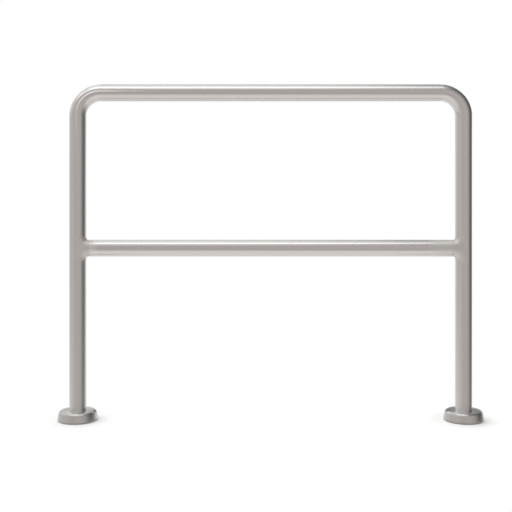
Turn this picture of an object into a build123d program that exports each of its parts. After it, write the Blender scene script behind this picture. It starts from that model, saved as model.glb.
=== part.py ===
from build123d import *
import os
from math import cos, radians, sin, sqrt, tan

# A floor-mounted handrail: a hoop of round stainless tube with a mid rail, welded up from straight
# tubes and elbows, on two bolted feet with lift-up covers. Millimetres, +X along the rails, +Y to the
# back, +Z up, with the origin on the floor midway between the posts.

# Tube and hoop
tube_diameter = 50.0
tube_wall = 2.0
rail_height = 1000.0          # floor to the top of the top rail
hoop_width = 1200.0           # over the outsides of the posts
mid_rail_height = 512.0       # floor to the mid rail's centreline
bend_radius = 70.0            # of an elbow's centreline

# Welds
groove_depth = 1.4            # V groove ground into the two tube ends of a butt joint
weld_crown = 0.3              # how far a dressed butt weld stands proud of the tube
cope_gap = 0.25               # between a post and the mid rail's coped end
saddle_leg = 6.0              # fillet between mid rail and post, along each
saddle_end_angle = 25.0       # degrees from the rail's side at which that fillet runs out
saddle_sections = 9           # profiles along one run of that fillet
saddle_bite = 1.0             # how far a profile reaches into the tubes before it is trimmed
base_leg = 5.0                # fillet between post and base plate, along each

# Base plates
plate_diameter = 105.0
plate_thickness = 8.0
plate_chamfer = 1.0
socket_clearance = 0.2        # around the post in its plate
socket_floor = 2.0            # from the plate's underside up to the post's end
anchor_diameter = 10.0
anchor_clearance = 1.0        # around an anchor in its hole
anchor_circle = 85.0
anchor_count = 4

# Covers and their rings
cover_diameter = 120.0
cover_height = 30.0
cover_draft = 9.0             # degrees that the outside leans in
cover_foot = 6.0              # width of the ring that stands on the floor
cover_ceiling = 2.5           # thickness of the top
cover_foot_radius = 3.5
cover_rim_radius = 8.0
cover_inner_radius = 3.0
cover_mouth_radius = 0.8      # edge of the bore round the post
cover_clearance = 0.4         # around the post in the cover
hub_length = 13.0             # bore round the post, from the cover's top down
hub_lip = 2.2                 # hub below the ring's groove
hub_wall = 2.0                # hub outside the ring's groove
ring_section = 3.6
ring_clearance = 0.15         # between the ring and the post, and the ring and its groove

tube_radius = tube_diameter / 2
rail_axis = rail_height - tube_radius
post_axis = hoop_width / 2 - tube_radius
elbow_x = post_axis - bend_radius
elbow_z = rail_axis - bend_radius
sides = (("left", -1), ("right", 1))


def write_part(builder, label):
    """Label a finished piece and write its file."""
    builder.part.label = label
    export_step(builder.part, f"parts/{label}.step")


def tube_profile():
    """Draw the tube's section in the sketch that is open."""
    Circle(tube_radius)
    Circle(tube_radius - tube_wall, mode=Mode.SUBTRACT)


def butt_weld(label, centre, direction):
    """A ring that fills the V groove between two tube ends and stands a little proud."""
    with BuildPart() as weld:
        with BuildSketch(Plane(origin=centre, x_dir=direction, z_dir=(0, -1, 0))):
            with BuildLine():
                Polyline(
                    (-groove_depth, tube_radius),
                    (0, tube_radius - groove_depth),
                    (groove_depth, tube_radius),
                )
                ThreePointArc(
                    (groove_depth, tube_radius),
                    (0, tube_radius + weld_crown),
                    (-groove_depth, tube_radius),
                )
            make_face()
        revolve(axis=Axis(centre, direction))
    write_part(weld, label)
    return weld


def upright(side_x):
    """The plane that holds the section of a round foot piece, with its origin on the floor."""
    return Plane(origin=(side_x, 0, 0), x_dir=(1, 0, 0), z_dir=(0, -1, 0))


os.makedirs("parts", exist_ok=True)

# Butt welds of the hoop, one at each end of each elbow
rail_welds = {}
post_welds = {}
for side, sign in sides:
    rail_welds[side] = butt_weld(f"{side}_rail_weld", (sign * elbow_x, 0, rail_axis), (1, 0, 0))
    post_welds[side] = butt_weld(f"{side}_post_weld", (sign * post_axis, 0, elbow_z), (0, 0, 1))

# Top rail, with both ends bevelled for their welds
with BuildPart() as top_rail:
    with BuildSketch(Plane.YZ.offset(-elbow_x)):
        with Locations((0, rail_axis)):
            tube_profile()
    extrude(amount=2 * elbow_x)
    for side, sign in sides:
        add(rail_welds[side].part, mode=Mode.SUBTRACT)
write_part(top_rail, "top_rail")

# Elbows, turned from the rail's end down to the post
for side, sign in sides:
    with BuildPart() as elbow:
        with BuildSketch(Plane.YZ.offset(sign * elbow_x)):
            with Locations((0, rail_axis)):
                tube_profile()
        revolve(axis=Axis((sign * elbow_x, 0, elbow_z), (0, sign, 0)), revolution_arc=90)
        add(rail_welds[side].part, mode=Mode.SUBTRACT)
        add(post_welds[side].part, mode=Mode.SUBTRACT)
    write_part(elbow, f"{side}_elbow")

# Posts, from inside the base plate up to the elbow
for side, sign in sides:
    with BuildPart() as post:
        with BuildSketch(Plane.XY.offset(socket_floor)):
            with Locations((sign * post_axis, 0)):
                tube_profile()
        extrude(amount=elbow_z - socket_floor)
        add(post_welds[side].part, mode=Mode.SUBTRACT)
    write_part(post, f"{side}_post")

# Mid rail, with both ends coped round the posts
with BuildPart() as mid_rail:
    with BuildSketch(Plane.YZ.offset(-post_axis)):
        with Locations((0, mid_rail_height)):
            tube_profile()
    extrude(amount=2 * post_axis)
    with Locations((-post_axis, 0, mid_rail_height), (post_axis, 0, mid_rail_height)):
        Cylinder(tube_radius + cope_gap, 2 * tube_diameter, mode=Mode.SUBTRACT)
write_part(mid_rail, "mid_rail")

# Saddle welds: an upper and a lower fillet that taper off towards the tubes' flush sides
saddle_start = radians(saddle_end_angle)
saddle_step = radians(180 - 2 * saddle_end_angle) / (saddle_sections - 1)
for side, sign in sides:
    joint = (sign * post_axis, 0, mid_rail_height)
    with BuildPart() as saddle_weld:
        for index in range(saddle_sections):
            angle = saddle_start + index * saddle_step
            leg = saddle_leg * sin(angle) ** 2
            seam = tube_radius * sin(angle)
            rail_toe = Vector(seam + leg, tube_radius)
            crest = tube_radius + leg
            post_toe = Vector(sqrt(tube_radius**2 - (crest * cos(angle)) ** 2), crest)
            overrun = (rail_toe - post_toe).normalized() * saddle_bite
            normal = (0, sign * sin(angle), -sign * cos(angle))
            with BuildSketch(Plane(origin=joint, x_dir=(-sign, 0, 0), z_dir=normal)):
                with BuildLine():
                    Polyline(
                        (seam - saddle_bite, tube_radius - saddle_bite),
                        rail_toe + overrun,
                        post_toe - overrun,
                        close=True,
                    )
                make_face()
        loft()
        mirror(about=Plane.XY.offset(mid_rail_height))
        with Locations(joint):
            Cylinder(tube_radius, 4 * tube_diameter, mode=Mode.SUBTRACT)
            Cylinder(tube_radius, 4 * tube_diameter, rotation=(0, 90, 0), mode=Mode.SUBTRACT)
    write_part(saddle_weld, f"{side}_saddle_weld")

# Base plates, with a socket for the post and a circle of anchor holes
for side, sign in sides:
    with BuildPart() as base_plate:
        with BuildSketch():
            with Locations((sign * post_axis, 0)):
                Circle(plate_diameter / 2)
                Circle(tube_radius + socket_clearance, mode=Mode.SUBTRACT)
                with PolarLocations(anchor_circle / 2, anchor_count, start_angle=180 / anchor_count):
                    Circle(anchor_diameter / 2 + anchor_clearance, mode=Mode.SUBTRACT)
        extrude(amount=plate_thickness)
        upper_edges = base_plate.edges().filter_by(GeomType.CIRCLE).group_by(Axis.Z)[-1]
        chamfer(upper_edges.sort_by(SortBy.RADIUS)[-1], length=plate_chamfer)
    write_part(base_plate, f"{side}_base_plate")

# Base welds, a fillet round the foot of each post
for side, sign in sides:
    with BuildPart() as base_weld:
        with BuildSketch(upright(sign * post_axis)):
            with BuildLine():
                Polyline(
                    (tube_radius, plate_thickness),
                    (tube_radius + base_leg, plate_thickness),
                    (tube_radius, plate_thickness + base_leg),
                    close=True,
                )
            make_face()
        revolve(axis=Axis((sign * post_axis, 0, 0), (0, 0, 1)))
    write_part(base_weld, f"{side}_base_weld")

# Base covers: turned caps with a drafted outside, a straight inside and a grooved hub for the ring
cover_radius = cover_diameter / 2
cover_inside = cover_radius - cover_foot
rim_radius = cover_radius - cover_height * tan(radians(cover_draft))
mouth_radius = tube_radius + cover_clearance
hub_floor = cover_height - hub_length
groove_radius = tube_radius + ring_section + 2 * ring_clearance
groove_height = ring_section + 2 * ring_clearance
ring_height = hub_floor + hub_lip + groove_height / 2
hub_radius = groove_radius + hub_wall
ceiling = cover_height - cover_ceiling
for side, sign in sides:
    with BuildPart() as base_cover:
        with BuildSketch(upright(sign * post_axis)) as section:
            with BuildLine():
                Polyline(
                    (cover_inside, 0),
                    (cover_radius, 0),
                    (rim_radius, cover_height),
                    (mouth_radius, cover_height),
                    (mouth_radius, hub_floor),
                    (hub_radius, hub_floor),
                    (hub_radius, ceiling),
                    (cover_inside, ceiling),
                    close=True,
                )
            make_face()
            roundings = (
                ((cover_radius, 0), cover_foot_radius),
                ((rim_radius, cover_height), cover_rim_radius),
                ((mouth_radius, cover_height), cover_mouth_radius),
                ((cover_inside, ceiling), cover_inner_radius),
            )
            for corner, radius in roundings:
                fillet(section.vertices().sort_by_distance(corner)[0], radius)
            with Locations((mouth_radius, ring_height)):
                groove_width = groove_radius - mouth_radius
                Rectangle(groove_width, groove_height, align=(Align.MIN, Align.CENTER), mode=Mode.SUBTRACT)
        revolve(axis=Axis((sign * post_axis, 0, 0), (0, 0, 1)))
    write_part(base_cover, f"{side}_base_cover")

# Cover rings, round rubber rings in the hubs' grooves
for side, sign in sides:
    with BuildPart() as cover_ring:
        with BuildSketch(upright(sign * post_axis)):
            with Locations((tube_radius + ring_clearance + ring_section / 2, ring_height)):
                Circle(ring_section / 2)
        revolve(axis=Axis((sign * post_axis, 0, 0), (0, 0, 1)))
    write_part(cover_ring, f"{side}_cover_ring")
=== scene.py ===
from math import acos, atan2, cos, hypot, pi, radians, sin, sqrt, tan

import bpy
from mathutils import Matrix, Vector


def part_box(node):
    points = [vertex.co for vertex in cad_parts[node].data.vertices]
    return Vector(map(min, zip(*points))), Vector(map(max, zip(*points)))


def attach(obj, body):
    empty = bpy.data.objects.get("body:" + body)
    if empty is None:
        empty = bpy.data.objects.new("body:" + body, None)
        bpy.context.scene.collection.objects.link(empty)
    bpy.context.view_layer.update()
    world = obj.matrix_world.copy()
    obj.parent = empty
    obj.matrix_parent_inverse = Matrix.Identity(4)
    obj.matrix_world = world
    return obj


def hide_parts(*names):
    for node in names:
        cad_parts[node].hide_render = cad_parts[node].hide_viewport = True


# A floor-mounted handrail of satin stainless tube. Metres, +X to the right post, +Y to the back, +Z up,
# with the origin on the floor midway between the posts. Right-hand pieces are modelled first, and the
# left-hand ones are copies turned half round.
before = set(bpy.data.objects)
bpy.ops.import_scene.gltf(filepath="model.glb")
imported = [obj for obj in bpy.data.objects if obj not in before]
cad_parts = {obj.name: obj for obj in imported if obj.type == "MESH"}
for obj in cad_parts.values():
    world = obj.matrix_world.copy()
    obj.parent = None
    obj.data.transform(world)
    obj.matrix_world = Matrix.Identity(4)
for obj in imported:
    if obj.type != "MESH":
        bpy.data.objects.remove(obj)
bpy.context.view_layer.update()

# Posts: two upright lengths of round stainless tube with a 2 mm wall, cut square at the foot. The top
# end is ground to a bevel, one half of the groove for the butt weld under its elbow.
post_low, post_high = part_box("right_post")
post_x = (post_low.x + post_high.x) / 2
tube_radius = (post_high.x - post_low.x) / 2
tube_wall = 0.002
tube_sides = 96
weld_groove = 0.0014
near = 0.00001
smooth_angle = radians(35)
brush_depth = 0.00002
brush_strength = 0.1
roughness_swing = 0.015
tube_finish = {
    "bright": "#cfcdcb",
    "dull": "#c7c5c3",
    "roughness": 0.26,
    "grain": 0.61,
    "line_spacing": 0.0025,
    "wave_depth": 0.00002,
    "wave_length": 0.08,
}


def linear(hex_colour):
    """An sRGB hex colour as the linear colour that a shader takes."""
    parts = [int(hex_colour[i:i + 2], 16) / 255 for i in (1, 3, 5)]
    return [p / 12.92 if p <= 0.04045 else ((p + 0.055) / 1.055) ** 2.4 for p in parts] + [1.0]


def add_node(tree, kind, settings, inputs):
    """Add a node, set its settings, and give each input a value or a link from another node's output."""
    node = tree.nodes.new(kind)
    for name, value in settings.items():
        setattr(node, name, value)
    for name, value in inputs.items():
        if isinstance(value, bpy.types.NodeSocket):
            tree.links.new(value, node.inputs[name])
        else:
            node.inputs[name].default_value = value
    return node


def empty_material(name):
    """A new material with no nodes yet."""
    material = bpy.data.materials.new(name)
    material.use_nodes = True
    material.node_tree.nodes.clear()
    return material


def satin_steel(name, bright, dull, roughness, grain, line_spacing, wave_depth, wave_length):
    """Stainless steel ground and brushed round its axis. The fine lines smear what it reflects along the
    tube and leave it crisp across, so light lies on it in long even bands. Real belt lines are 0.1 mm
    apart; they are drawn wider, so that they show."""
    material = empty_material(name)
    tree = material.node_tree
    wrap = add_node(tree, "ShaderNodeUVMap", {"uv_map": "wrap"}, {})
    axes = add_node(tree, "ShaderNodeSeparateXYZ", {}, {"Vector": wrap.outputs["UV"]})
    along = add_node(tree, "ShaderNodeMath", {"operation": "DIVIDE"},
                     {0: axes.outputs["X"], 1: line_spacing})
    across = add_node(tree, "ShaderNodeMath", {"operation": "COSINE"}, {0: axes.outputs["Y"]})
    deep = add_node(tree, "ShaderNodeMath", {"operation": "SINE"}, {0: axes.outputs["Y"]})
    brushed = add_node(tree, "ShaderNodeCombineXYZ", {},
                       {"X": along.outputs[0], "Y": across.outputs[0], "Z": deep.outputs[0]})
    lines = add_node(tree, "ShaderNodeTexNoise", {},
                     {"Vector": brushed.outputs[0], "Scale": 1.0, "Detail": 3.0, "Roughness": 0.6})
    place = add_node(tree, "ShaderNodeTexCoord", {}, {})
    waves = add_node(tree, "ShaderNodeTexNoise", {},
                     {"Vector": place.outputs["Object"], "Scale": 1 / wave_length, "Detail": 1.0})
    colour = add_node(tree, "ShaderNodeMix", {"data_type": "RGBA"},
                      {0: lines.outputs["Fac"], 6: linear(bright), 7: linear(dull)})
    blur = add_node(tree, "ShaderNodeMapRange", {},
                    {"Value": lines.outputs["Fac"], "From Min": 0.3, "From Max": 0.7,
                     "To Min": roughness - roughness_swing, "To Max": roughness + roughness_swing})
    uneven = add_node(tree, "ShaderNodeBump", {},
                      {"Height": waves.outputs["Fac"], "Strength": 1.0, "Distance": wave_depth})
    ground = add_node(tree, "ShaderNodeBump", {},
                      {"Height": lines.outputs["Fac"], "Strength": brush_strength, "Distance": brush_depth,
                       "Normal": uneven.outputs["Normal"]})
    lay = add_node(tree, "ShaderNodeTangent", {"direction_type": "UV_MAP", "uv_map": "wrap"}, {})
    shader = add_node(tree, "ShaderNodeBsdfPrincipled", {},
                      {"Base Color": colour.outputs[2], "Metallic": 1.0, "Roughness": blur.outputs[0],
                       "Anisotropic": grain, "Normal": ground.outputs["Normal"],
                       "Tangent": lay.outputs["Tangent"]})
    add_node(tree, "ShaderNodeOutputMaterial", {}, {"Surface": shader.outputs["BSDF"]})
    return material


def select_only(piece):
    """Select a piece alone, and make it the active one."""
    bpy.ops.object.select_all(action="DESELECT")
    piece.select_set(True)
    bpy.context.view_layer.objects.active = piece


def settle(piece, name, location=(0, 0, 0), turn=(0, 0, 0)):
    """Name a piece, put it in its place, and leave that place in its mesh."""
    piece.name = name
    piece.location = location
    piece.rotation_euler = turn
    select_only(piece)
    bpy.ops.object.transform_apply(location=True, rotation=True, scale=True)


def wrap_uv(piece, along, angle):
    """Lay a UV map over a round piece: U in metres along it, V in radians round it, with no face torn."""
    layer = piece.data.uv_layers.get("wrap") or piece.data.uv_layers.new(name="wrap")
    piece.data.uv_layers.active = layer
    for face in piece.data.polygons:
        middle = angle(face.center)
        for index in face.loop_indices:
            corner = piece.data.vertices[piece.data.loops[index].vertex_index].co
            turned = angle(corner)
            turned -= 2 * pi * round((turned - middle) / (2 * pi))
            layer.data[index].uv = (along(corner), turned)


def add_modifier(piece, kind, **settings):
    """Add a modifier to a piece and apply it."""
    modifier = piece.modifiers.new(kind.lower(), kind)
    for name, value in settings.items():
        setattr(modifier, name, value)
    bpy.context.view_layer.objects.active = piece
    bpy.ops.object.modifier_apply(modifier=modifier.name)


def pick_edges(piece, wanted):
    """Open a piece in edit mode with those edges selected whose two ends are as wanted."""
    select_only(piece)
    bpy.ops.object.mode_set(mode="EDIT")
    bpy.ops.mesh.select_mode(type="EDGE")
    bpy.ops.mesh.select_all(action="DESELECT")
    bpy.ops.object.mode_set(mode="OBJECT")
    for edge in piece.data.edges:
        first, second = [piece.data.vertices[i].co for i in edge.vertices]
        edge.select = wanted(first, second)
    bpy.ops.object.mode_set(mode="EDIT")


def bevel_edges(piece, width, segments, wanted):
    """Bevel the edges of a piece whose two ends are both at a wanted place."""
    pick_edges(piece, lambda first, second: wanted(first) and wanted(second))
    bpy.ops.mesh.bevel(offset=width, segments=segments, affect="EDGES")
    bpy.ops.object.mode_set(mode="OBJECT")


def finish_piece(piece, material, body, slot, *nodes):
    """Shade a piece, give it its material, and let it ride in place of its CAD nodes."""
    select_only(piece)
    bpy.ops.object.shade_smooth_by_angle(angle=smooth_angle)
    piece.data.materials.clear()
    piece.data.materials.append(material)
    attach(piece, body)
    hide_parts(*nodes)


def left_copy(piece, name):
    """Copy a right-hand piece, with its own mesh, and turn the copy half round to the left."""
    select_only(piece)
    bpy.ops.object.duplicate()
    copy = bpy.context.object
    settle(copy, name, turn=(0, 0, pi))
    return copy


def straight_tube(name, length, location, turn):
    """A plain length of tube with its wall, open at both ends."""
    bpy.ops.object.select_all(action="DESELECT")
    bpy.ops.mesh.primitive_cylinder_add(vertices=tube_sides, radius=tube_radius, depth=length,
                                        end_fill_type="NOTHING")
    tube = bpy.context.object
    settle(tube, name, location, turn)
    add_modifier(tube, "SOLIDIFY", thickness=tube_wall, offset=-1)
    return tube


# Belt-ground tube: pale warm grey, with soft bands of light that run its whole length and hardly waver.
tube_steel = satin_steel("satin_ground_stainless_tube", **tube_finish)
post_middle = (post_x, 0, (post_low.z + post_high.z) / 2)
right_post = straight_tube("right_post_tube", post_high.z - post_low.z, post_middle, (0, 0, 0))
bevel_edges(right_post, weld_groove, 1,
            lambda co: co.z > post_high.z - near and hypot(co.x - post_x, co.y) > tube_radius - near)
wrap_uv(right_post, lambda co: co.z, lambda co: atan2(co.y, co.x - post_x))
left_post = left_copy(right_post, "left_post_tube")
finish_piece(right_post, tube_steel, "frame", "satin_tube", "right_post")
finish_piece(left_post, tube_steel, "frame", "satin_tube", "left_post")

# Elbows: bought butt-weld bends of the same tube, a quarter turn each. They are pressed from tube and
# polished by hand, so they are a little less even than the straight lengths.
rail_low, rail_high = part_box("top_rail")
rail_z = rail_high.z - tube_radius
elbow_x = rail_high.x
bend_radius = post_x - elbow_x
elbow_z = rail_z - bend_radius
bend_steps = 160

# Hand-polished bend: the tube's grey, with sharper bands of light that waver a little.
elbow_steel = satin_steel(
    "hand_polished_stainless_elbow", bright="#cfcdcb", dull="#c7c5c3", roughness=0.23, grain=0.77,
    line_spacing=0.0025, wave_depth=0.0001, wave_length=0.03,
)
bpy.ops.object.select_all(action="DESELECT")
bpy.ops.mesh.primitive_torus_add(major_radius=bend_radius, minor_radius=tube_radius,
                                 major_segments=bend_steps, minor_segments=tube_sides)
right_elbow = bpy.context.object
settle(right_elbow, "right_elbow_bend", (elbow_x, 0, elbow_z), (pi / 2, 0, 0))
bpy.ops.object.mode_set(mode="EDIT")
for cut_normal in ((1, 0, 0), (0, 0, 1)):
    bpy.ops.mesh.select_all(action="SELECT")
    bpy.ops.mesh.bisect(plane_co=(elbow_x, 0, elbow_z), plane_no=cut_normal, clear_inner=True)
bpy.ops.object.mode_set(mode="OBJECT")
add_modifier(right_elbow, "SOLIDIFY", thickness=tube_wall, offset=-1)
bevel_edges(right_elbow, weld_groove, 1,
            lambda co: co.x < elbow_x + near and hypot(co.y, co.z - rail_z) > tube_radius - near)
bevel_edges(right_elbow, weld_groove, 1,
            lambda co: co.z < elbow_z + near and hypot(co.y, co.x - post_x) > tube_radius - near)
wrap_uv(right_elbow, lambda co: bend_radius * atan2(co.x - elbow_x, co.z - elbow_z),
        lambda co: atan2(co.y, hypot(co.x - elbow_x, co.z - elbow_z) - bend_radius))
left_elbow = left_copy(right_elbow, "left_elbow_bend")
finish_piece(right_elbow, elbow_steel, "frame", "satin_tube", "right_elbow")
finish_piece(left_elbow, elbow_steel, "frame", "satin_tube", "left_elbow")

# Top rail: one straight length of the tube between the elbows, with both ends bevelled for their welds.
# It is what the hand holds, so it is brushed to an even satin.
top_rail = straight_tube("top_rail_tube", rail_high.x - rail_low.x, (0, 0, rail_z), (0, pi / 2, 0))
bevel_edges(top_rail, weld_groove, 1,
            lambda co: abs(co.x) > elbow_x - near and hypot(co.y, co.z - rail_z) > tube_radius - near)
wrap_uv(top_rail, lambda co: co.x, lambda co: atan2(co.y, co.z - rail_z))
finish_piece(top_rail, tube_steel, "frame", "satin_tube", "top_rail")

# Butt welds: rings of weld metal that fill the V grooves at the ends of the elbows. They were ground
# nearly flush and polished with the tube, which leaves a faint low crown.
weld_crown = 0.00001
crown_points = 7
crown_radius = (weld_groove ** 2 + weld_crown ** 2) / (2 * weld_crown)


def lathe(outline, steps):
    """Turn a closed outline of (radius, height) points once round the upright line through the origin."""
    bpy.ops.object.select_all(action="DESELECT")
    bpy.ops.mesh.primitive_circle_add(vertices=len(outline), fill_type="NOTHING")
    turned = bpy.context.object
    for vertex, (radius, height) in zip(turned.data.vertices, outline):
        vertex.co = (radius, 0, height)
    bpy.ops.object.mode_set(mode="EDIT")
    bpy.ops.mesh.select_all(action="SELECT")
    bpy.ops.mesh.spin(steps=steps, angle=2 * pi, center=(0, 0, 0), axis=(0, 0, 1))
    bpy.ops.mesh.select_all(action="SELECT")
    bpy.ops.mesh.remove_doubles(threshold=near / 10)
    bpy.ops.mesh.normals_make_consistent(inside=False)
    bpy.ops.object.mode_set(mode="OBJECT")
    return turned


# Flush-polished weld: the tube's own sheen with finer lines, so that the joint hardly shows.
weld_steel = satin_steel(
    "flush_polished_stainless_weld", bright="#ceccca", dull="#c6c3c1", roughness=0.26, grain=0.7,
    line_spacing=0.0015, wave_depth=0.00001, wave_length=0.006,
)
crown = []
for index in range(crown_points):
    height = weld_groove * (1 - 2 * index / (crown_points - 1))
    crown.append((tube_radius + weld_crown - crown_radius + sqrt(crown_radius ** 2 - height ** 2), height))
weld_outline = [(tube_radius - weld_groove, 0)] + crown
weld_places = (
    ("post_weld", (post_x, 0, elbow_z), (0, 0, 0)),
    ("rail_weld", (elbow_x, 0, rail_z), (0, pi / 2, 0)),
)
for weld_name, weld_place, weld_turn in weld_places:
    right_weld = lathe(weld_outline, tube_sides)
    wrap_uv(right_weld, lambda co: co.z, lambda co: atan2(co.y, co.x))
    settle(right_weld, f"right_{weld_name}_ring", weld_place, weld_turn)
    left_weld = left_copy(right_weld, f"left_{weld_name}_ring")
    finish_piece(right_weld, weld_steel, "frame", "dressed_weld", f"right_{weld_name}")
    finish_piece(left_weld, weld_steel, "frame", "dressed_weld", f"left_{weld_name}")

# Mid rail: a straight length of the same tube between the posts. Both ends are coped, cut to a saddle
# that fits round the post with a hair's gap. They were dressed by hand when the welds there were ground,
# which leaves them rougher. Each end is given by its post's axis, how far off the dressing starts and is
# full, and its painted sheen: a paler colour that stands in for lighter reflection near the joint.
mid_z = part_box("mid_rail")[0].z + tube_radius
cope_gap = 0.00025
cutter_height = 4 * tube_radius
cutter_sides = 192
dressed_ends_with_painted_sheen = (
    (-post_x, 0.066, 0.042, "#dddbd8"),
    (post_x, -0.112, -0.078, "#d6d4d1"),
)
dressed_blur = 0.30

# Dressed tube: the same bands of light, which blur out towards both ends, where a painted sheen, a paler
# colour, stands in for lighter reflection.
mid_steel = satin_steel("hand_dressed_painted_sheen_stainless_mid_rail", **tube_finish)
tree = mid_steel.node_tree
shader = tree.nodes["Principled BSDF"]
colour = shader.inputs["Base Color"].links[0].from_socket
blur = shader.inputs["Roughness"].links[0].from_socket
place = add_node(tree, "ShaderNodeTexCoord", {}, {})
axes = add_node(tree, "ShaderNodeSeparateXYZ", {}, {"Vector": place.outputs["Object"]})
for end_x, start, full, painted_sheen_tone in dressed_ends_with_painted_sheen:
    dressing_and_sheen = add_node(tree, "ShaderNodeMapRange", {"interpolation_type": "SMOOTHSTEP"},
                       {"Value": axes.outputs["X"], "From Min": end_x + start, "From Max": end_x + full})
    # Painted sheen: each end's colour turns paler, standing in for lighter reflection there.
    colour = add_node(tree, "ShaderNodeMix", {"data_type": "RGBA"},
                      {0: dressing_and_sheen.outputs[0], 6: colour, 7: linear(painted_sheen_tone)}).outputs[2]
    blur = add_node(tree, "ShaderNodeMath", {"operation": "MULTIPLY_ADD"},
                    {0: dressing_and_sheen.outputs[0], 1: dressed_blur, 2: blur}).outputs[0]
tree.links.new(colour, shader.inputs["Base Color"])
tree.links.new(blur, shader.inputs["Roughness"])

mid_rail = straight_tube("mid_rail_tube", 2 * post_x, (0, 0, mid_z), (0, pi / 2, 0))
wrap_uv(mid_rail, lambda co: co.x, lambda co: atan2(co.y, co.z - mid_z))
for cutter_x in (-post_x, post_x):
    bpy.ops.object.select_all(action="DESELECT")
    bpy.ops.mesh.primitive_cylinder_add(vertices=cutter_sides, radius=tube_radius + cope_gap,
                                        depth=cutter_height, location=(cutter_x, 0, mid_z))
    cope_cutter = bpy.context.object
    add_modifier(mid_rail, "BOOLEAN", operation="DIFFERENCE", object=cope_cutter)
    bpy.data.objects.remove(cope_cutter)
finish_piece(mid_rail, mid_steel, "frame", "satin_tube", "mid_rail")

# Saddle welds: seams laid in the corners between mid rail and posts, then ground and polished until the
# tubes run into each other. The blend is wide and nearly flat at front and back, where the tubes are
# flush, and is a hollow fillet above and below.
corner_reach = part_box("right_saddle_weld")[1].z - mid_z - tube_radius
flush_reach = 0.035
saddle_lift = 0.00002
saddle_sides = 24
saddle_rings = 120


def saddle_point(share_along, index, upper):
    """A point of the right-hand blend, by how far it is along the seam and its place in the section. The
    last point of a section is the corner where rail and post meet."""
    angle = pi * share_along
    radius = tube_radius + saddle_lift
    reach = corner_reach + (flush_reach - corner_reach) * cos(angle) ** 2
    seam = radius * sin(angle)
    out = seam
    up = seam
    if index < saddle_sides - 1:
        lean = reach * (1 - 2 * index / (saddle_sides - 2))
        fill = (reach - abs(lean)) ** 2 / (4 * reach)
        out += fill + max(lean, 0)
        up += fill + max(-lean, 0)
    return (post_x - out, -radius * cos(angle), mid_z + upper * up)


# Hand-ground weld: a duller, even sheen with no clear bands of light.
saddle_steel = satin_steel(
    "hand_ground_stainless_weld", bright="#cfcdcb", dull="#c5c2bf", roughness=0.55, grain=0.2,
    line_spacing=0.0015, wave_depth=0.00001, wave_length=0.006,
)
for run_name, upper in (("upper", 1), ("lower", -1)):
    bpy.ops.object.select_all(action="DESELECT")
    bpy.ops.mesh.primitive_cylinder_add(vertices=saddle_sides, radius=1, depth=1)
    right_saddle = bpy.context.object
    pick_edges(right_saddle, lambda first, second: abs(first.z - second.z) > near)
    bpy.ops.mesh.subdivide_edgering(number_cuts=saddle_rings, interpolation="LINEAR")
    bpy.ops.object.mode_set(mode="OBJECT")
    for vertex in right_saddle.data.vertices:
        index = round(saddle_sides * atan2(vertex.co.y, vertex.co.x) / (2 * pi)) % saddle_sides
        share_along = vertex.co.z + 0.5
        vertex.co = saddle_point(share_along, index, upper)
    bpy.ops.object.mode_set(mode="EDIT")
    bpy.ops.mesh.select_all(action="SELECT")
    bpy.ops.mesh.normals_make_consistent(inside=False)
    bpy.ops.object.mode_set(mode="OBJECT")
    settle(right_saddle, f"right_saddle_weld_{run_name}")
    wrap_uv(right_saddle, lambda co: abs(co.z - mid_z) - (post_x - co.x),
            lambda co: acos(max(-1, min(1, -co.y / tube_radius))) + abs(co.z - mid_z) + post_x - co.x)
    left_saddle = left_copy(right_saddle, f"left_saddle_weld_{run_name}")
    finish_piece(right_saddle, saddle_steel, "frame", "dressed_weld", "right_saddle_weld")
    finish_piece(left_saddle, saddle_steel, "frame", "dressed_weld", "left_saddle_weld")

# Base plates: discs laser-cut from 8 mm stainless plate, with a bore that the post stands in and four
# holes for the floor anchors. The upper rim is chamfered, and the covers hide them.
plate_low, plate_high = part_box("right_base_plate")
plate_radius = (plate_high.x - plate_low.x) / 2
plate_chamfer = 0.001
socket_clearance = 0.0002
plate_bore = tube_radius + socket_clearance
anchor_hole = 0.006
anchor_circle = 0.0425
anchor_count = 4
hole_sides = 64
edge_break = 0.0003
streaks_per_metre = (40, 900, 60)

# Laser-cut plate: flat mid grey, with faint streaks about 25 mm long and 1 mm wide from the rolling.
plate_steel = empty_material("laser_cut_stainless_plate")
tree = plate_steel.node_tree
place = add_node(tree, "ShaderNodeTexCoord", {}, {})
rolled_way = add_node(tree, "ShaderNodeMapping", {},
                      {"Vector": place.outputs["Object"], "Scale": streaks_per_metre})
rolled = add_node(tree, "ShaderNodeTexNoise", {},
                  {"Vector": rolled_way.outputs[0], "Scale": 1.0, "Detail": 3.0})
plate_colour = add_node(tree, "ShaderNodeMix", {"data_type": "RGBA"},
                        {0: rolled.outputs["Fac"], 6: linear("#bdb9b5"), 7: linear("#a9a49f")})
plate_blur = add_node(tree, "ShaderNodeMapRange", {},
                      {"Value": rolled.outputs["Fac"], "To Min": 0.32, "To Max": 0.5})
plate_grain = add_node(tree, "ShaderNodeBump", {},
                       {"Height": rolled.outputs["Fac"], "Strength": 0.4, "Distance": 0.00003})
plate_shader = add_node(tree, "ShaderNodeBsdfPrincipled", {},
                        {"Base Color": plate_colour.outputs[2], "Metallic": 1.0,
                         "Roughness": plate_blur.outputs[0], "Normal": plate_grain.outputs["Normal"]})
add_node(tree, "ShaderNodeOutputMaterial", {}, {"Surface": plate_shader.outputs["BSDF"]})

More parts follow.
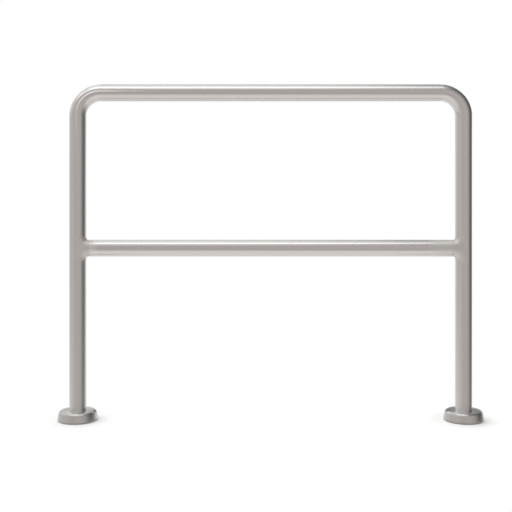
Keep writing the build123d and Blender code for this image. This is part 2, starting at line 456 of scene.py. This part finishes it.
bpy.ops.object.select_all(action="DESELECT")
bpy.ops.mesh.primitive_cylinder_add(vertices=2 * tube_sides, radius=plate_radius, depth=plate_high.z)
right_plate = bpy.context.object
settle(right_plate, "right_base_plate_disc", (post_x, 0, plate_high.z / 2))
hole_places = [(post_x, 0, plate_bore, tube_sides)]
for index in range(anchor_count):
    angle = 2 * pi * (index + 0.5) / anchor_count
    hole_x = post_x + anchor_circle * cos(angle)
    hole_y = anchor_circle * sin(angle)
    hole_places.append((hole_x, hole_y, anchor_hole, hole_sides))
for hole_x, hole_y, hole_radius, sides in hole_places:
    bpy.ops.object.select_all(action="DESELECT")
    bpy.ops.mesh.primitive_cylinder_add(vertices=sides, radius=hole_radius, depth=4 * plate_high.z,
                                        location=(hole_x, hole_y, plate_high.z / 2))
    hole_cutter = bpy.context.object
    add_modifier(right_plate, "BOOLEAN", operation="DIFFERENCE", object=hole_cutter)
    bpy.data.objects.remove(hole_cutter)
bevel_edges(right_plate, plate_chamfer, 2,
            lambda co: co.z > plate_high.z - near and hypot(co.x - post_x, co.y) > plate_radius - near)
for hole_x, hole_y, hole_radius, sides in hole_places:
    bevel_edges(right_plate, edge_break, 2,
                lambda co: co.z > plate_high.z - near
                and abs(hypot(co.x - hole_x, co.y - hole_y) - hole_radius) < near)
left_plate = left_copy(right_plate, "left_base_plate_disc")
finish_piece(right_plate, plate_steel, "frame", "cut_plate", "right_base_plate")
finish_piece(left_plate, plate_steel, "frame", "cut_plate", "left_base_plate")

# Base welds: a fillet run all round the foot of each post, left as it was laid apart from a brushing,
# so its ripples still show. The covers hide it with the plate.
base_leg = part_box("right_base_weld")[1].z - plate_high.z
bead_root = 0.001
bead_points = 9
bead_bulge = 0.0006
bead_edge = 0.02
ripple_count = 58
ripple_depth = 0.00022
ripple_lean = 2
bead_steps = 8 * ripple_count
stain_size = 0.004

# Brushed weld: dull grey metal, browned in small patches by the heat.
bead_steel = empty_material("brushed_stainless_fillet_weld")
tree = bead_steel.node_tree
place = add_node(tree, "ShaderNodeTexCoord", {}, {})
stain = add_node(tree, "ShaderNodeTexNoise", {},
                 {"Vector": place.outputs["Object"], "Scale": 1 / stain_size, "Detail": 4.0})
bead_colour = add_node(tree, "ShaderNodeMix", {"data_type": "RGBA"},
                       {0: stain.outputs["Fac"], 6: linear("#b5afa8"), 7: linear("#94897c")})
bead_blur = add_node(tree, "ShaderNodeMapRange", {},
                     {"Value": stain.outputs["Fac"], "To Min": 0.28, "To Max": 0.52})
bead_shader = add_node(tree, "ShaderNodeBsdfPrincipled", {},
                       {"Base Color": bead_colour.outputs[2], "Metallic": 1.0,
                        "Roughness": bead_blur.outputs[0]})
add_node(tree, "ShaderNodeOutputMaterial", {}, {"Surface": bead_shader.outputs["BSDF"]})

bead_outline = [(tube_radius - bead_root, plate_high.z - bead_root)]
for index in range(bead_points):
    share = index / (bead_points - 1)
    swell = bead_bulge * sin(pi * share) / sqrt(2)
    reach = tube_radius + base_leg * (1 - share) + swell
    height = plate_high.z + base_leg * share + swell
    bead_outline.append((reach, height))
right_bead = lathe(bead_outline, bead_steps)
for vertex in right_bead.data.vertices:
    radius = hypot(vertex.co.x, vertex.co.y)
    share = (vertex.co.z - plate_high.z) / base_leg
    if bead_edge < share < 1 - bead_edge:
        ripple = sin(ripple_count * atan2(vertex.co.y, vertex.co.x) + ripple_lean * share)
        lift = ripple_depth * sin(pi * share) * ripple
        vertex.co.x *= (radius + lift) / radius
        vertex.co.y *= (radius + lift) / radius
        vertex.co.z += lift
settle(right_bead, "right_base_weld_bead", (post_x, 0, 0))
left_bead = left_copy(right_bead, "left_base_weld_bead")
finish_piece(right_bead, bead_steel, "frame", "raw_weld", "right_base_weld")
finish_piece(left_bead, bead_steel, "frame", "raw_weld", "left_base_weld")

# Cover rings: black rubber rings of round section in the covers' hubs. They grip the posts, so that a
# lifted cover stays up, and have the thin flash line that the mould leaves.
ring_low, ring_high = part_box("right_cover_ring")
ring_section = 0.0036
ring_clearance = 0.00015
ring_centre = tube_radius + ring_clearance + ring_section / 2
ring_height = (ring_low.z + ring_high.z) / 2
ring_sides = 40
flash_height = 0.00006
bloom_size = 0.0015

# Moulded rubber: near black and dull, with a greyer bloom in small patches.
rubber = empty_material("moulded_black_rubber")
tree = rubber.node_tree
place = add_node(tree, "ShaderNodeTexCoord", {}, {})
bloom = add_node(tree, "ShaderNodeTexNoise", {},
                 {"Vector": place.outputs["Object"], "Scale": 1 / bloom_size, "Detail": 3.0})
rubber_colour = add_node(tree, "ShaderNodeMix", {"data_type": "RGBA"},
                         {0: bloom.outputs["Fac"], 6: linear("#1c1c1c"), 7: linear("#2b2a29")})
rubber_blur = add_node(tree, "ShaderNodeMapRange", {},
                       {"Value": bloom.outputs["Fac"], "To Min": 0.55, "To Max": 0.8})
rubber_grain = add_node(tree, "ShaderNodeBump", {},
                        {"Height": bloom.outputs["Fac"], "Strength": 0.3, "Distance": 0.00003})
rubber_shader = add_node(tree, "ShaderNodeBsdfPrincipled", {},
                         {"Base Color": rubber_colour.outputs[2], "Roughness": rubber_blur.outputs[0],
                          "Normal": rubber_grain.outputs["Normal"]})
add_node(tree, "ShaderNodeOutputMaterial", {}, {"Surface": rubber_shader.outputs["BSDF"]})

bpy.ops.object.select_all(action="DESELECT")
bpy.ops.mesh.primitive_torus_add(major_radius=ring_centre, minor_radius=ring_section / 2 - flash_height,
                                 major_segments=tube_sides, minor_segments=ring_sides)
right_ring = bpy.context.object
for vertex in right_ring.data.vertices:
    if abs(vertex.co.z) < near:
        radius = hypot(vertex.co.x, vertex.co.y)
        share = (radius + (flash_height if radius > ring_centre else -flash_height)) / radius
        vertex.co.x *= share
        vertex.co.y *= share
settle(right_ring, "right_cover_rubber_ring", (post_x, 0, ring_height))
left_ring = left_copy(right_ring, "left_cover_rubber_ring")
finish_piece(right_ring, rubber, "right_ring", "black_rubber", "right_cover_ring")
finish_piece(left_ring, rubber, "left_ring", "black_rubber", "left_cover_ring")

# Base covers: caps turned from stainless bar, with a drafted side, a rounded rim and a hub that holds
# the rubber ring. They slide on the posts and hide the bolted plates. The flat top is a little smoother
# as far as its rim and has a painted sheen, and the edge on the floor has painted shade.
cover_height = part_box("right_base_cover")[1].z
cover_radius = 0.060
cover_draft = radians(9)
cover_foot = 0.006
cover_top = 0.0025
cover_clearance = 0.0004
cover_inside = cover_radius - cover_foot
cover_ceiling = cover_height - cover_top
cover_rim = cover_radius - cover_height * tan(cover_draft)
cover_mouth = tube_radius + cover_clearance
hub_length = 0.013
hub_wall = 0.002
hub_floor = cover_height - hub_length
groove_radius = tube_radius + ring_section + 2 * ring_clearance
groove_half = (ring_section + 2 * ring_clearance) / 2
hub_radius = groove_radius + hub_wall
foot_round = 0.0045
rim_round = 0.010
mouth_round = 0.0008
inner_round = 0.005
corner_steps = 10
# The top's painted sheen: the radius where it begins, its soft edge, and how much smoother the top is.
sheen_top_radius = 0.046
sheen_top_fade = 0.004
top_smoothing = -0.02
# The foot's painted shade: how high it reaches and how dark it gets.
painted_shade_height = 0.008
painted_shade_strength = 0.7


def rounded(before, corner, after, radius):
    """The points of an arc that rounds the corner of an outline off."""
    arms = []
    for end in (before, after):
        length = hypot(end[0] - corner[0], end[1] - corner[1])
        arms.append(((end[0] - corner[0]) / length, (end[1] - corner[1]) / length))
    half = abs(atan2(arms[0][0] * arms[1][1] - arms[0][1] * arms[1][0],
                     arms[0][0] * arms[1][0] + arms[0][1] * arms[1][1])) / 2
    points = []
    for index in range(corner_steps + 1):
        swing = (pi / 2 - half) * (2 * index / corner_steps - 1)
        along = radius * (1 / sin(half) - cos(swing)) / (2 * cos(half))
        aside = radius * sin(swing) / (2 * sin(half))
        points.append((corner[0] + (along - aside) * arms[0][0] + (along + aside) * arms[1][0],
                       corner[1] + (along - aside) * arms[0][1] + (along + aside) * arms[1][1]))
    return points


# Turned steel: fine rings round the post, which draw light out into rays. The top is a little smoother and
# has a painted sheen, a far paler colour standing in for light on it, and the foot has painted shade. The
# cover's UV runs up its outside as height less radius, so the top's edge is a step along U.
cover_steel = satin_steel(
    "turned_satin_stainless_cover_painted_sheen_and_shade", bright="#c9c7c5", dull="#bdbab7", roughness=0.28, grain=0.82,
    line_spacing=0.0012, wave_depth=0.00001, wave_length=0.02,
)
tree = cover_steel.node_tree
shader = tree.nodes["Principled BSDF"]
colour = shader.inputs["Base Color"].links[0].from_socket
blur = shader.inputs["Roughness"].links[0].from_socket
wrap = add_node(tree, "ShaderNodeUVMap", {"uv_map": "wrap"}, {})
axes = add_node(tree, "ShaderNodeSeparateXYZ", {}, {"Vector": wrap.outputs["UV"]})
sheen_top_edge = cover_height - sheen_top_radius
smooth_and_sheen_top = add_node(tree, "ShaderNodeMapRange", {},
                      {"Value": axes.outputs["X"], "From Min": sheen_top_edge - sheen_top_fade,
                       "From Max": sheen_top_edge})
# Painted sheen: the top is given a far paler colour, standing in for light falling on it.
painted_sheen_colour = add_node(tree, "ShaderNodeMix", {"data_type": "RGBA"},
                         {0: smooth_and_sheen_top.outputs[0], 6: colour, 7: linear("#f0eeec")})
turned_blur = add_node(tree, "ShaderNodeMath", {"operation": "MULTIPLY_ADD"},
                       {0: smooth_and_sheen_top.outputs[0], 1: top_smoothing, 2: blur})
place = add_node(tree, "ShaderNodeTexCoord", {}, {})
upward = add_node(tree, "ShaderNodeSeparateXYZ", {}, {"Vector": place.outputs["Object"]})
# Painted shade: the colour darkens towards the floor, standing in for shadow where the cover meets it.
painted_shade = add_node(tree, "ShaderNodeMapRange", {},
                {"Value": upward.outputs["Z"], "From Min": painted_shade_height, "From Max": 0.0,
                 "To Max": painted_shade_strength})
shaded_foot_colour = add_node(tree, "ShaderNodeMix", {"data_type": "RGBA"},
                         {0: painted_shade.outputs[0], 6: painted_sheen_colour.outputs[2], 7: linear("#6a6662")})
tree.links.new(shaded_foot_colour.outputs[2], shader.inputs["Base Color"])
tree.links.new(turned_blur.outputs[0], shader.inputs["Roughness"])

foot_corner = (cover_radius, 0)
rim_corner = (cover_rim, cover_height)
mouth_corner = (cover_mouth, cover_height)
inner_corner = (cover_inside, cover_ceiling)
cover_outline = [(cover_inside, 0)]
cover_outline += rounded((cover_inside, 0), foot_corner, rim_corner, foot_round)
cover_outline += rounded(foot_corner, rim_corner, mouth_corner, rim_round)
cover_outline += rounded(rim_corner, mouth_corner, (cover_mouth, hub_floor), mouth_round)
cover_outline += [
    (cover_mouth, ring_height + groove_half),
    (groove_radius, ring_height + groove_half),
    (groove_radius, ring_height - groove_half),
    (cover_mouth, ring_height - groove_half),
    (cover_mouth, hub_floor),
    (hub_radius, hub_floor),
    (hub_radius, cover_ceiling),
]
cover_outline += rounded((hub_radius, cover_ceiling), inner_corner, (cover_inside, 0), inner_round)
right_cover = lathe(cover_outline, 2 * tube_sides)
wrap_uv(right_cover, lambda co: co.z - hypot(co.x, co.y), lambda co: atan2(co.y, co.x))
settle(right_cover, "right_base_cover_cap", (post_x, 0, 0))
left_cover = left_copy(right_cover, "left_base_cover_cap")
finish_piece(right_cover, cover_steel, "right_cover", "turned_cover", "right_base_cover")
finish_piece(left_cover, cover_steel, "left_cover", "turned_cover", "left_base_cover")

# Floor: a plain pale studio floor under the feet, which fades into the white backdrop a few centimetres
# out from them. It is lifted to white, and the handrail's soft shadow stays on it.
floor_reach = (1.05, 0.45)
floor_sides = 128
floor_drop = 0.0003
floor_lift = 0.18
fade_from = 0.062
fade_to = 0.11

# Matt paint: white with no gloss at all, on which only the shadow shows.
floor_paint = empty_material("matt_white_floor")
tree = floor_paint.node_tree
seen = add_node(tree, "ShaderNodeLightPath", {}, {})
direct = add_node(tree, "ShaderNodeMath", {"operation": "MAXIMUM"},
                  {0: seen.outputs["Is Camera Ray"], 1: seen.outputs["Is Glossy Ray"]})
shown = add_node(tree, "ShaderNodeMath", {"operation": "MAXIMUM"},
                 {0: direct.outputs[0], 1: seen.outputs["Is Transmission Ray"]})
lift = add_node(tree, "ShaderNodeMath", {"operation": "MULTIPLY"}, {0: shown.outputs[0], 1: floor_lift})
floor_shader = add_node(tree, "ShaderNodeBsdfPrincipled", {},
                        {"Base Color": linear("#fafafa"), "Roughness": 1.0, "Specular IOR Level": 0.0,
                         "Emission Color": linear("#ffffff"), "Emission Strength": lift.outputs[0]})
place = add_node(tree, "ShaderNodeTexCoord", {}, {})
either_side = add_node(tree, "ShaderNodeVectorMath", {"operation": "ABSOLUTE"}, {0: place.outputs["Object"]})
from_foot = add_node(tree, "ShaderNodeVectorMath", {"operation": "DISTANCE"},
                     {0: either_side.outputs[0], 1: (post_x, 0, floor_drop)})
fade = add_node(tree, "ShaderNodeMapRange", {"interpolation_type": "SMOOTHSTEP"},
                {"Value": from_foot.outputs["Value"], "From Min": fade_from, "From Max": fade_to})
clear = add_node(tree, "ShaderNodeBsdfTransparent", {}, {})
faded = add_node(tree, "ShaderNodeMixShader", {},
                 {0: fade.outputs[0], 1: floor_shader.outputs["BSDF"], 2: clear.outputs["BSDF"]})
add_node(tree, "ShaderNodeOutputMaterial", {}, {"Surface": faded.outputs["Shader"]})

bpy.ops.object.select_all(action="DESELECT")
bpy.ops.mesh.primitive_circle_add(vertices=floor_sides, radius=1, fill_type="NGON")
floor = bpy.context.object
floor.scale = (floor_reach[0], floor_reach[1], 1)
settle(floor, "studio_floor", (0, 0, -floor_drop))
floor.data.materials.append(floor_paint)

# Light tent: a wide ball of lit cloth round the handrail, as steel is photographed. Its panels stand in
# layers, each tone at a bearing in degrees: 0 in front, 90 at the right, 180 behind. Dark panels at the
# right, and behind above eye level, draw the tubes' dark edges. In the roof, 0 is straight overhead.
low_panels = (
    (-180, "#ffffff"), (-150, "#ffffff"), (-120, "#dddddc"), (-90, "#d3d2d1"), (-55, "#dad5d3"),
    (-18, "#cdc5c2"), (20, "#d8d2cf"), (50, "#cac7c5"), (76, "#868584"), (90, "#646463"), (102, "#6a6a69"),
    (126, "#bababa"), (142, "#ffffff"), (180, "#ffffff"),
)
foot_panels = (
    (-180, "#ffffff"), (-125, "#ffffff"), (-100, "#ffffff"), (-79, "#f1f0ef"), (-45, "#dfdbd9"),
    (-15, "#cac3c0"), (12, "#c4bebb"), (40, "#bab5b3"), (54, "#b6b3b1"), (74, "#989796"), (86, "#8a8988"),
    (100, "#9a9a99"), (125, "#e6e6e6"), (142, "#ffffff"), (180, "#ffffff"),
)
middle_panels = (
    (-180, "#909090"), (-164, "#b4b4b4"), (-144, "#fafafa"), (-108, "#ffffff"), (-75, "#dddbda"),
    (-18, "#cec6c3"), (20, "#dad4d1"), (50, "#cbc8c6"), (92, "#6c6c6b"), (122, "#5a5a5a"), (140, "#a8a8a8"),
    (154, "#909090"), (166, "#404040"), (180, "#909090"),
)
roof_panels = (
    (-180, "#f2f2f2"), (-45, "#ffffff"), (5, "#ffffff"), (20, "#acacac"), (30, "#868685"), (110, "#7a7a79"),
    (180, "#f2f2f2"),
)
tent_radius = 40.0
tent_middle = 0.6
tent_sides = 128
# The angles above or below the tent's middle between which one layer gives way to the next.
foot_span = (radians(-7), radians(-15))
middle_span = (radians(6), radians(11))
roof_span = (radians(26), radians(58))
base_span = (radians(-12), radians(-46))
base_glow = 1.05

# Lit cloth: an even glow, with soft joins from panel to panel, that the steel mirrors.
tent_cloth = empty_material("lit_tent_cloth")
tree = tent_cloth.node_tree
place = add_node(tree, "ShaderNodeTexCoord", {}, {})
centred = add_node(tree, "ShaderNodeMapping", {},
                   {"Vector": place.outputs["Object"], "Location": (0, 0, -tent_middle)})
axes = add_node(tree, "ShaderNodeSeparateXYZ", {}, {"Vector": centred.outputs[0]})
toward = add_node(tree, "ShaderNodeMath", {"operation": "MULTIPLY"}, {0: axes.outputs["Y"], 1: -1.0})
bearing = add_node(tree, "ShaderNodeMath", {"operation": "ARCTAN2"},
                   {0: axes.outputs["X"], 1: toward.outputs[0]})
swing = add_node(tree, "ShaderNodeMath", {"operation": "ARCTAN2"},
                 {0: axes.outputs["X"], 1: axes.outputs["Z"]})
layers = (
    (bearing, low_panels),
    (bearing, foot_panels),
    (bearing, middle_panels),
    (swing, roof_panels),
)
shades = []
for turned, panels in layers:
    share = add_node(tree, "ShaderNodeMapRange", {},
                     {"Value": turned.outputs[0], "From Min": -pi, "From Max": pi})
    ramp = add_node(tree, "ShaderNodeValToRGB", {}, {"Fac": share.outputs[0]})
    stops = ramp.color_ramp.elements
    for degrees, grey in panels[1:-1]:
        stops.new((degrees + 180) / 360).color = linear(grey)
    stops[0].color = linear(panels[0][1])
    stops[len(stops) - 1].color = linear(panels[-1][1])
    shades.append(ramp.outputs["Color"])
shades.append([base_glow * part for part in linear("#fdfaf8")])
sine = add_node(tree, "ShaderNodeMath", {"operation": "DIVIDE"}, {0: axes.outputs["Z"], 1: tent_radius})
height = add_node(tree, "ShaderNodeMath", {"operation": "ARCSINE"}, {0: sine.outputs[0]})
cloth = shades[0]
for span, shade in zip((foot_span, middle_span, roof_span, base_span), shades[1:]):
    reached = add_node(tree, "ShaderNodeMapRange", {"interpolation_type": "SMOOTHSTEP"},
                       {"Value": height.outputs[0], "From Min": span[0], "From Max": span[1]})
    cloth = add_node(tree, "ShaderNodeMix", {"data_type": "RGBA"},
                     {0: reached.outputs[0], 6: cloth, 7: shade}).outputs[2]
glow = add_node(tree, "ShaderNodeEmission", {}, {"Color": cloth, "Strength": 1.0})
add_node(tree, "ShaderNodeOutputMaterial", {}, {"Surface": glow.outputs["Emission"]})

bpy.ops.object.select_all(action="DESELECT")
bpy.ops.mesh.primitive_uv_sphere_add(segments=tent_sides, ring_count=tent_sides // 2, radius=tent_radius)
tent = bpy.context.object
settle(tent, "light_tent", (0, 0, tent_middle))
tent.data.materials.append(tent_cloth)
tent.visible_camera = False

# Lamps: a wide softbox overhead lays the bright line on the rails, and one behind it and a panel at the
# back lighten their upper edges. Two small lamps at the upper left draw the streaks round the left elbow,
# and the front one has a grid that narrows its beam. Each has a place, size, radiance, aim and beam.
lamps = (
    ("overhead_softbox", (-0.3, -0.75, 3.0), (2.8, 1.1), 1.1, (0, 0, -1), 180),
    ("back_softbox", (-0.5, 0.9, 3.0), (2.4, 2.2), 0.25, (0, 0, -1), 180),
    ("back_panel", (-0.05, 2.5, 2.05), (4.1, 1.1), 0.6, (0, -1, 0), 180),
    ("front_lamp", (-0.85, -1.1, 1.33), (0.3, 0.3), 2.2, (0.28, 1.1, -0.37), 32),
    ("side_lamp", (-1.4, -0.18, 1.79), (0.3, 0.3), 1.5, (0.83, 0.18, -0.83), 180),
)
for lamp_name, lamp_place, lamp_size, radiance, aim, beam in lamps:
    tilt = (atan2(hypot(aim[0], aim[1]), -aim[2]), 0, atan2(-aim[0], aim[1]))
    bpy.ops.object.light_add(type="AREA", location=lamp_place, rotation=tilt)
    lamp = bpy.context.object
    lamp.name = lamp_name
    lamp.data.shape = "RECTANGLE"
    lamp.data.size = lamp_size[0]
    lamp.data.size_y = lamp_size[1]
    lamp.data.spread = radians(beam)
    # A grid takes light away at the sides, and leaves the lamp as bright as before along its aim.
    narrowing = 1 - radians(beam / 2) / tan(radians(beam / 2))
    lamp.data.energy = radiance * pi * narrowing * lamp_size[0] * lamp_size[1]
    lamp.visible_camera = False

# World: plain white all round, like a paper backdrop. The camera sees it behind the handrail, and the
# tent keeps it off the steel.
world = bpy.data.worlds.new("white_studio")
world.use_nodes = True
world.node_tree.nodes["Background"].inputs["Color"].default_value = linear("#ffffff")
world.node_tree.nodes["Background"].inputs["Strength"].default_value = 1.0
bpy.context.scene.world = world
bpy.context.scene.view_settings.view_transform = "Standard"

# Camera: level and square on, 2.5 m in front of the handrail and a little left of its middle. The lens
# is shifted down, as the photograph's is, so that the posts stay upright.
camera_place = (-0.0439, -2.5, 0.62)
view_width = 1.5264
photo_side = 512
horizon_row = 211.95
bpy.ops.object.camera_add(location=camera_place, rotation=(pi / 2, 0, 0))
camera = bpy.context.object
camera.data.lens = camera.data.sensor_width * -camera_place[1] / view_width
camera.data.shift_y = -(photo_side / 2 - horizon_row) / photo_side
bpy.context.scene.camera = camera
